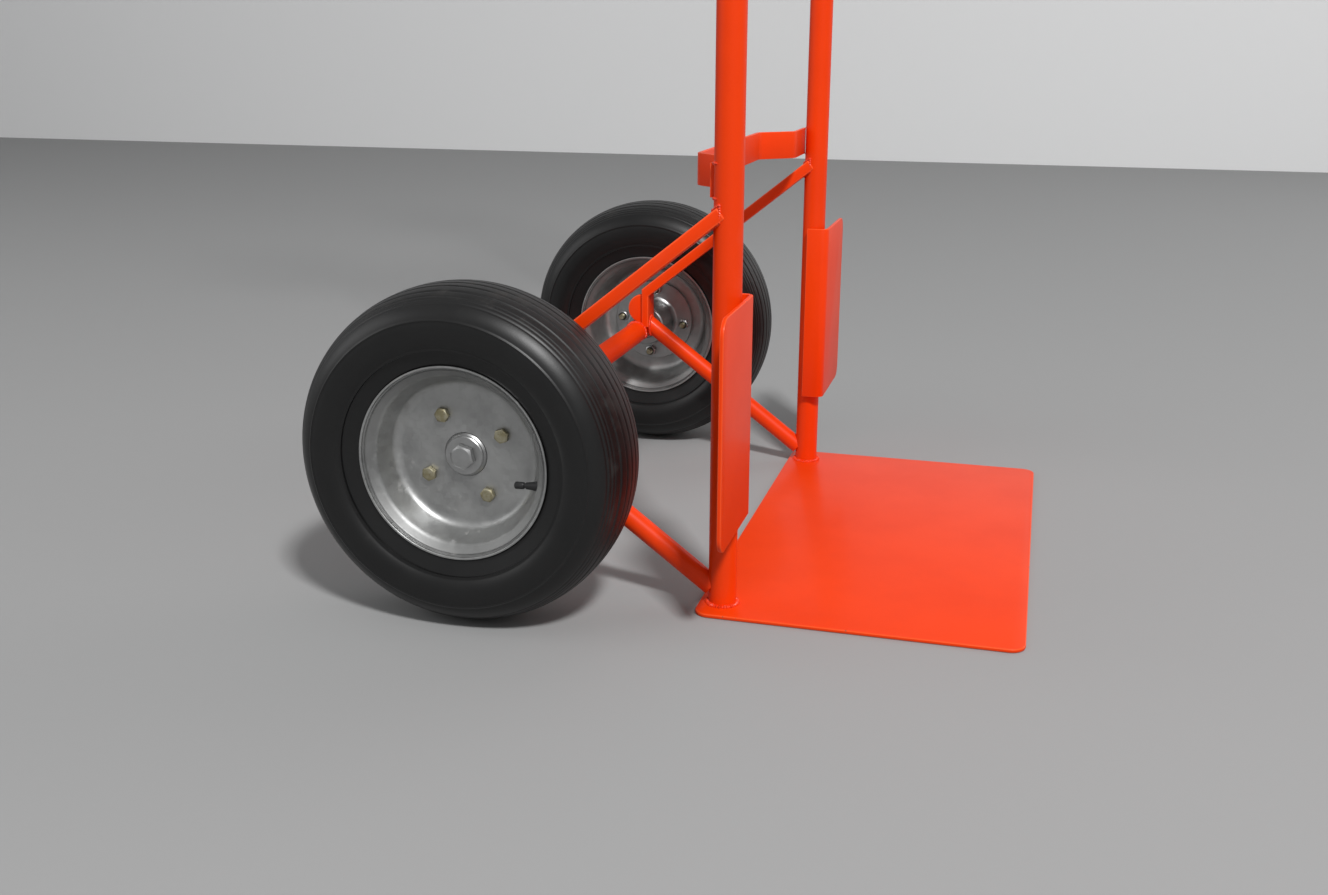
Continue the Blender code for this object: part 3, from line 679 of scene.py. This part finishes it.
def axle_tube():
    """An open tube round the axle, welded to the struts' feet."""
    low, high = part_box("axle_tube")
    bore = TUBE_RADIUS - TUBE_WALL
    half = (high.x - low.x) / 2
    edge = 0.0004
    outline = [(TUBE_RADIUS, half - edge), (TUBE_RADIUS - edge, half), (bore, half)]
    outline += [(bore, -half), (TUBE_RADIUS - edge, -half), (TUBE_RADIUS, edge - half)]
    place = Matrix.Translation(AXLE) @ Matrix.Rotation(radians(90), 4, "Y")
    piece("round_axle_tube", turned(outline, 48), "orange_paint", "frame", ["axle_tube"], place)
    for word, side in SIDES.items():
        for name, x in (("inner", UPRIGHT_X - 0.0108), ("outer", UPRIGHT_X + 0.0108)):
            path = arc_x(Vector((side * x, AXLE.y, AXLE.z)), TUBE_RADIUS, radians(25), radians(215))
            weld(f"{word}_axle_{name}_weld", path, 0.0014, closed=False)


# Welds: beads with the ripples of a hand-laid seam


def circle(spot, axis, radius, steps=32):
    """A circle round an axis through the spot."""
    turn = axis.to_track_quat("Z", "Y")
    angles = [2 * pi * step / steps for step in range(steps)]
    return [spot + turn @ Vector((radius * cos(angle), radius * sin(angle), 0)) for angle in angles]


def oval(spot, half_width, half_height, steps=36):
    """An oval in the XZ plane."""
    angles = [2 * pi * step / steps for step in range(steps)]
    return [spot + Vector((half_width * cos(angle), 0, half_height * sin(angle))) for angle in angles]


def arc(spot, radius, start, end, steps=14):
    """An arc about Z."""
    angles = [start + (end - start) * step / steps for step in range(steps + 1)]
    return [spot + Vector((radius * cos(angle), radius * sin(angle), 0)) for angle in angles]


def arc_x(spot, radius, start, end, steps=26):
    """An arc about X, from +Y towards +Z."""
    angles = [start + (end - start) * step / steps for step in range(steps + 1)]
    return [spot + Vector((0, radius * cos(angle), radius * sin(angle))) for angle in angles]


def saddle(spot, axis, radius, post_radius, steps=36):
    """Where a tube along axis runs into the side of an upright post."""
    across = axis.cross(Vector((0, 0, 1)))
    path = []
    for step in range(steps):
        angle = 2 * pi * step / steps
        side = radius * cos(angle)
        reach = max(post_radius**2 - side**2, 0) ** 0.5
        path.append(spot + axis * (reach + 0.0004) + across * side + Vector((0, 0, radius * sin(angle))))
    return path


def weld(name, path, radius, closed=True):
    """A bead along a path, with a ripple about every 1.7 mm and a slightly uneven width."""
    fine = []
    ring = path + path[:1] if closed else path
    for first, second in zip(ring, ring[1:]):
        count = max(1, round((second - first).length / WELD_STEP))
        fine += [first.lerp(second, step / count) for step in range(count)]
    if not closed:
        fine.append(path[-1])
    radii = []
    for number in range(len(fine)):
        ripple = 0.20 * sin(2 * pi * number / 3.1) + 0.12 * sin(number * 0.37 + len(name))
        fade = 1.0
        if not closed:
            end = min(number, len(fine) - 1 - number) / 6
            fade = min(1.0, 0.45 + 0.55 * end)
        radii.append(radius * (1 + ripple) * fade)
    piece(name, swept(fine, radii, 8, closed), "weld_paint", "frame", (), None, 60)


# The wheels, built about Z with Z outboard


def wheel_place(side):
    """Turns +Z outboard and moves a shape from the origin to its wheel."""
    return Matrix.Translation((side * WHEEL_X, AXLE.y, AXLE.z)) @ Matrix.Rotation(side * radians(90), 4, "Y")


def tyre_section():
    """The outside of the section from one bead over the crown to the other."""
    crown = (TYRE_RADIUS + LIP_RADIUS) / 2
    half_height = (TYRE_RADIUS - LIP_RADIUS) / 2
    steps = 232
    points = []
    for step in range(steps + 1):
        turn = radians(-33) + radians(246) * step / steps
        x, y = cos(turn), sin(turn)
        across = TYRE_HALF_WIDTH * abs(x) ** 0.90 * (1 if x > 0 else -1)
        radius = crown + half_height * abs(y) ** 0.90 * (1 if y > 0 else -1)
        points.append(Vector((radius, across, 0)))
    shaped = []
    for number, point in enumerate(points):
        before = points[max(number - 1, 0)]
        after = points[min(number + 1, steps)]
        along = (after - before).normalized()
        out = Vector((along.y, -along.x, 0))
        if out.dot(point - Vector((crown, 0, 0))) < 0:
            out = -out
        lift = 0.0
        across = abs(point.y)
        if point.x > crown:
            for groove in TREAD_GROOVES:
                lift -= 0.0009 * exp(-(((across - groove) / 0.0009) ** 4))
            for line in SHOULDER_LINES:
                lift -= 0.0004 * exp(-(((across - line) / 0.00055) ** 2))
        if across > 0.036:
            lift += 0.0007 * exp(-(((point.x - MOULD_RING_RADIUS) / 0.0006) ** 2))
            lift += 0.0011 * exp(-(((point.x - BEAD_RING_RADIUS) / 0.00065) ** 2))
        lift -= 0.0010 * max(0.0, min(1.0, (0.0868 - point.x) / 0.0012))
        shaped.append(point + out * lift)
    return shaped


def tyre(word, place, body):
    """The carcass: ribbed crown, mould rings on the walls, a sunken band by the rim and two beads."""
    skin = tyre_section()
    foot = [(0.0665, 0.0268), (0.0716, 0.0290), (0.0736, 0.0318), (0.0752, 0.0331), (0.0775, 0.0338)]
    bead_out = rounded([*foot, skin[0].xy], [0.001, 0.001, 0.001, 0.003], 3)[:-1]
    bead_in = [Vector((point.x, -point.y, 0)) for point in bead_out[::-1]]
    inner = [(0.0840, -0.0290), (0.1000, -0.0360), (0.1200, -0.0240), (0.1240, 0.0), (0.1200, 0.0240)]
    inner += [(0.1000, 0.0360), (0.0840, 0.0290)]
    outline = bead_out + skin + bead_in + [Vector(point).to_3d() for point in inner]
    shape = turned(outline, 168)
    layer = shape.verts.layers.float.new("tread")
    for vert in shape.verts:
        if vert.co.xy.length > 0.1125:
            vert[layer] = max(0.0, min(1.0, (TREAD_EDGE - abs(vert.co.z)) / 0.006))
    piece(word + "_moulded_tyre", shape, "tyre_rubber", body, [word + "_tyre"], place, 50)


def rim(word, place, body):
    """Two pressed halves: a flat disc, a round step, a barrel and a flange with a rolled lip."""
    for half, face, way in (("outer", DISC_FACE, 1), ("inner", INNER_DISC_FACE, -1)):
        corners = [(NOSE_RADIUS + 0.0003, face), (0.0570, face), (0.0650, way * 0.0268)]
        corners += [(0.0706, way * 0.0311), (0.0715, way * 0.0332), (0.0719, way * 0.0325)]
        corners += [(0.0724, way * 0.0325), (0.0728, way * LIP_FACE), (LIP_RADIUS, way * LIP_FACE)]
        line = rounded(corners, [0.0085, 0.0090, 0.0022, 0.0002, 0, 0.0002, 0.0006], 12)
        shape = turned(thickened(line, -way * RIM_SHEET), 160)
        recess = shape.verts.layers.float.new("recess")
        wall = shape.verts.layers.float.new("wall")
        for vert in shape.verts:
            radius = vert.co.xy.length
            vert[recess] = exp(-(((radius - 0.0590) / 0.0030) ** 2))
            # Marks the flange's outer wall for painted shade.
            vert[wall] = max(0.0, min(1.0, (radius - 0.0635) / 0.0030, (0.0722 - radius) / 0.0008))
        name = f"{word}_pressed_rim_{half}"
        piece(name, shape, "galvanised_steel", body, [f"{word}_rim_{half}"], place, 50)


def hub(word, place, body):
    """A turned barrel with a flange for the rim bolts and a nose that stands through the discs."""
    low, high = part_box(word + "_hub")
    inner = HUB_FACE - (high.x - low.x)
    back = FLANGE_FACE - 0.0040
    bore = BEARING_RADIUS + 0.0003
    edge = FLANGE_RADIUS - 0.0005
    corners = [(bore, HUB_FACE - 0.0004), (bore + 0.0004, HUB_FACE), (NOSE_RADIUS - 0.0014, HUB_FACE)]
    corners += [(NOSE_RADIUS, HUB_FACE - 0.0014), (NOSE_RADIUS, FLANGE_FACE), (edge, FLANGE_FACE)]
    corners += [(FLANGE_RADIUS, FLANGE_FACE - 0.0005), (FLANGE_RADIUS, back + 0.0005), (edge, back)]
    corners += [(0.0260, back), (0.0222, back - 0.0035), (BARREL_RADIUS, inner + 0.0070)]
    corners += [(BARREL_RADIUS, inner + 0.0015), (BARREL_RADIUS - 0.0015, inner)]
    corners += [(bore, inner), (bore, HUB_FACE - 0.0004)]
    radii = [0, 0.0006, 0.0006, 0, 0, 0, 0, 0, 0.0035, 0.006, 0.002, 0.0012, 0.0012, 0]
    shape = turned(rounded(corners, radii, 5)[:-1], 96)
    piece(word + "_turned_hub", shape, "bright_steel", body, [word + "_hub"], place)


def bearing(word, which, place, body):
    """A ball bearing: outer and inner race with a sunken dust shield between them."""
    low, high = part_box(f"{word}_{which}_bearing")
    width = high.x - low.x
    bottom = HUB_FACE - 0.0005 - width if which == "outer" else INNER_BEARING_BOTTOM
    top = bottom + width
    sunk = 0.0006
    edge = 0.0004
    outline = [(0.0063, top), (0.0082, top), (0.0084, top - sunk), (0.0108, top - sunk), (0.0110, top)]
    outline += [(BEARING_RADIUS - edge, top), (BEARING_RADIUS, top - edge), (BEARING_RADIUS, bottom + edge)]
    outline += [(BEARING_RADIUS - edge, bottom), (0.0110, bottom), (0.0108, bottom + sunk)]
    outline += [(0.0084, bottom + sunk), (0.0082, bottom), (0.0063, bottom)]
    name = f"{word}_{which}_ball_bearing"
    piece(name, turned(outline, 64), "bright_steel", body, [f"{word}_{which}_bearing"], place, 25)


def hex_head(shape, across, low, high, dome):
    """A hexagon whose top corners are turned off to a cone round a slightly domed face."""
    flats = across / 2
    face_radius = flats * 0.86
    stand = Matrix.Translation((0, 0, low))
    made = bmesh.ops.create_circle(shape, cap_ends=True, segments=72, radius=1, matrix=stand)
    base = made["verts"][0].link_faces[0]
    for vert in base.verts:
        turn = atan2(vert.co.y, vert.co.x) % (pi / 3) - pi / 6
        vert.co.xy = vert.co.xy.normalized() * flats / cos(turn)
    rings = []
    top = base
    for _ in range(3):
        raised = bmesh.ops.extrude_face_region(shape, geom=[top])["geom"]
        top = next(item for item in raised if isinstance(item, bmesh.types.BMFace))
        rings.append(list(top.verts))
    shapes = ((None, high), (face_radius, high), (face_radius * 0.55, high + dome))
    for ring, (radius, height) in zip(rings, shapes):
        for vert in ring:
            way = vert.co.xy.normalized()
            turn = atan2(way.y, way.x) % (pi / 3) - pi / 6
            reach = radius or flats / cos(turn)
            vert.co.xy = way * reach
            vert.co.z = height - max(0, reach - face_radius) * 0.58
    bmesh.ops.recalc_face_normals(shape, faces=shape.faces)


def bolt_shape(across, low, high, tip, dome=0.0004):
    """A hexagonal bolt with a pressed washer face and a threaded shank down to its tip."""
    shape = bmesh.new()
    hex_head(shape, across, low + 0.0005, high, dome)
    washer = [(0, low), (across * 0.475, low), (across * 0.485, low + 0.0005), (0, low + 0.0005)]
    join(shape, turned(washer, 48))
    pitch = 0.0010
    thread = [(0, low), (THREAD_RADIUS, low)]
    for number in range(int((low - tip - 0.001) / pitch)):
        height = low - 0.0005 - number * pitch
        thread += [(THREAD_RADIUS, height), (THREAD_RADIUS - 0.0004, height - pitch / 2)]
    thread += [(THREAD_RADIUS - 0.0005, tip), (0, tip)]
    join(shape, turned(thread, 24))
    return shape


def rim_fasteners(word, place, body):
    """Each bolt and nut takes its turn about the axle from its CAD node."""
    for number in range(1, 5):
        spot = place.inverted() @ middle(f"{word}_rim_nut_{number}")
        turn = atan2(spot.y, spot.x)
        stand = place @ Matrix.Translation((spot.x, spot.y, 0)) @ Matrix.Rotation(turn * 3 + number, 4, "Z")
        shape = bolt_shape(RIM_BOLT_ACROSS, DISC_FACE + 0.0001, DISC_FACE + 0.0042, -0.0135)
        node = f"{word}_rim_bolt_{number}"
        piece(f"{word}_zinc_bolt_{number}", shape, "yellow_zinc", body, [node], stand, 25)
        shape = bmesh.new()
        hex_head(shape, RIM_BOLT_ACROSS, -0.0024, 0.0024, 0.0)
        flip = Matrix.Translation((0, 0, spot.z)) @ Matrix.Rotation(pi, 4, "X")
        node = f"{word}_rim_nut_{number}"
        piece(f"{word}_zinc_nut_{number}", shape, "bright_steel", body, [node], stand @ flip, 25)


def valve(word, place, body):
    """A rubber base that flares at the rim, a notch, and a thin ribbed cap that points past the hub."""
    spot = place.inverted() @ middle(word + "_valve_stem")
    out = Vector((spot.x, spot.y, 0)).normalized()
    pivot = Matrix.Translation(out * 0.0570)
    lean = pivot @ Matrix.Rotation(VALVE_LEAN, 4, "Z") @ pivot.inverted()
    facing = out.to_track_quat("Z", "Y").to_matrix().to_4x4()
    stand = place @ Matrix.Translation((0, 0, spot.z)) @ lean @ facing
    base = [(0, 0.0540), (0.0018, 0.0540), (0.0018, 0.0556), (0.0026, 0.0560), (0.0027, 0.0575)]
    base += [(0.0033, 0.0615), (0.0037, 0.0640), (0.0037, 0.0700), (0.0026, 0.0720), (0, 0.0720)]
    cap = [(0, 0.0470), (0.0019, 0.0470), (0.0025, 0.0475), (0.0027, 0.0484), (0.0027, 0.0535)]
    cap += [(0.0024, 0.0542), (0, 0.0542)]
    ribbed = turned(cap, 56)
    for vert in ribbed.verts:
        if vert.co.z < 0.0530 and vert.co.xy.length > 0.0024:
            vert.co.xy *= 1 + 0.05 * cos(CAP_RIBS * atan2(vert.co.y, vert.co.x))
    for name, shape, node in (
        ("_rubber_valve", turned(base, 40), "_valve_stem"),
        ("_valve_dust_cap", ribbed, "_valve_cap"),
    ):
        piece(word + name, shape, "soft_rubber", body, [word + node], stand)


def axle_end(word, place):
    """The washer and bolt on the end of the axle shaft, which stay with the frame."""
    low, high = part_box(word + "_axle_washer")
    radius = (high.y - low.y) / 2
    base = HUB_FACE + 0.0003
    top = base + high.x - low.x
    outline = [(0.0036, base), (radius - 0.0004, base), (radius, base + 0.0004), (radius, top - 0.0008)]
    outline += [(radius - 0.0008, top), (0.0036, top)]
    washer = turned(outline, 72)
    piece(word + "_round_washer", washer, "bright_steel", "frame", [word + "_axle_washer"], place)
    bolt = bolt_shape(AXLE_BOLT_ACROSS, top, top + 0.0058, top - 0.0180, 0.0007)
    stand = place @ Matrix.Rotation(radians(12), 4, "Z")
    piece(word + "_hexagon_bolt", bolt, "bright_steel", "frame", [word + "_axle_bolt"], stand, 25)


def axle_shaft():
    """A shaft with a thinner end in each wheel and a screw hole in each end."""
    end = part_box("axle_shaft")[1].x
    shoulder = WHEEL_X - SHOULDER_DEPTH
    edge = 0.0004
    outline = [(0, end - 0.018), (0.0033, end - 0.018), (0.0033, end), (SHAFT_END_RADIUS - edge, end)]
    outline += [(SHAFT_END_RADIUS, end - edge), (SHAFT_END_RADIUS, shoulder)]
    outline += [(SHAFT_RADIUS - edge, shoulder), (SHAFT_RADIUS, shoulder - edge)]
    outline += [(radius, -height) for radius, height in outline[::-1]]
    place = Matrix.Translation(AXLE) @ Matrix.Rotation(radians(90), 4, "Y")
    piece("turned_axle_shaft", turned(outline, 64), "bright_steel", "frame", ["axle_shaft"], place)


def wheel(word, side):
    """All pieces of one wheel, and what the frame has on that end of the axle."""
    place = wheel_place(side)
    body = word + "_wheel"
    tyre(word, place, body)
    rim(word, place, body)
    hub(word, place, body)
    for which in ("outer", "inner"):
        bearing(word, which, place, body)
    rim_fasteners(word, place, body)
    valve(word, place, body)
    axle_end(word, place)
    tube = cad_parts[word + "_inner_tube"]
    tube.data.materials.clear()
    tube.data.materials.append(FINISHES["soft_rubber"])


# Floor, lights and camera


def backdrop(name, tone, size, place):
    """A plain matt sheet: the floor, or the wall behind it."""
    shape = bmesh.new()
    bmesh.ops.create_grid(shape, x_segments=1, y_segments=1, size=size, matrix=place)
    mesh = bpy.data.meshes.new(name)
    shape.to_mesh(mesh)
    shape.free()
    finish = Finish("plain_" + name, Base_Color=grey(tone), Roughness=0.8, Specular_IOR_Level=0.2)
    mesh.materials.append(finish.material)
    sheet = bpy.data.objects.new(name, mesh)
    bpy.context.scene.collection.objects.link(sheet)


def softbox(name, spot, target, size, power):
    data = bpy.data.lights.new(name, "AREA")
    data.shape = "RECTANGLE"
    data.size, data.size_y = size
    data.energy = power
    lamp = bpy.data.objects.new(name, data)
    lamp.location = spot
    lamp.rotation_euler = (Vector(target) - Vector(spot)).to_track_quat("-Z", "Y").to_euler()
    bpy.context.scene.collection.objects.link(lamp)


def lights():
    """A small key light high on the truck's right, two wide soft ones, and pale, even surroundings."""
    softbox("key_light", (-2.50, -1.60, 3.60), (0.05, 0.05, 0.10), (0.5, 0.5), 185)
    softbox("fill_light", (-1.2, 3.2, 1.6), (0, 0.1, 0.3), (2.4, 1.8), 22)
    softbox("front_light", (2.2, -2.6, 1.8), (0, 0, 0.1), (2.2, 1.6), 22)
    world = bpy.data.worlds.new("studio")
    world.use_nodes = True
    world.node_tree.nodes["Background"].inputs["Color"].default_value = (0.80, 0.81, 0.82, 1)
    world.node_tree.nodes["Background"].inputs["Strength"].default_value = 0.42
    bpy.context.scene.world = world
    bpy.context.scene.view_settings.view_transform = "Standard"


def camera():
    """Looks down and across the truck from its right side, a little ahead of the uprights."""
    yaw, pitch, roll = radians(15.40), radians(17.13), radians(0.15)
    forward = Vector((cos(yaw) * cos(pitch), sin(yaw) * cos(pitch), -sin(pitch)))
    data = bpy.data.cameras.new("camera")
    data.sensor_width = 36
    data.lens = 36.52
    data.clip_end = 60
    viewer = bpy.data.objects.new("camera", data)
    turn = forward.to_track_quat("-Z", "Y").to_matrix().to_4x4()
    stand = Matrix.Translation((-1.1539, -0.2160, 0.4331))
    viewer.matrix_world = stand @ turn @ Matrix.Rotation(roll, 4, "Z")
    bpy.context.scene.collection.objects.link(viewer)
    bpy.context.scene.camera = viewer


def main():
    toe_plate()
    axle_tube()
    axle_shaft()
    top_cross_tube()
    for level in ("lower", "middle", "upper"):
        cross_strap(level)
    for word, side in SIDES.items():
        upright(word, side)
        foot = Vector((side * UPRIGHT_X, 0, PLATE_HIGH.z))
        weld(word + "_foot_weld", circle(foot, Vector((0, 0, 1)), TUBE_RADIUS + 0.0006), 0.0021)
        grip(word, side)
        knuckle_guard(word, side)
        wheel_guard(word, side)
        upper_strut(word, side)
        lower_strut(word, side)
        axle_bracket(word)
        wheel(word, side)
    backdrop("floor", 0.32, 12, Matrix.Translation((0, 0, GROUND - 0.0002)))
    backdrop("wall", 0.92, 12, Matrix.Translation((WALL_X, 0, 0)) @ Matrix.Rotation(radians(90), 4, "Y"))
    lights()
    camera()


main()
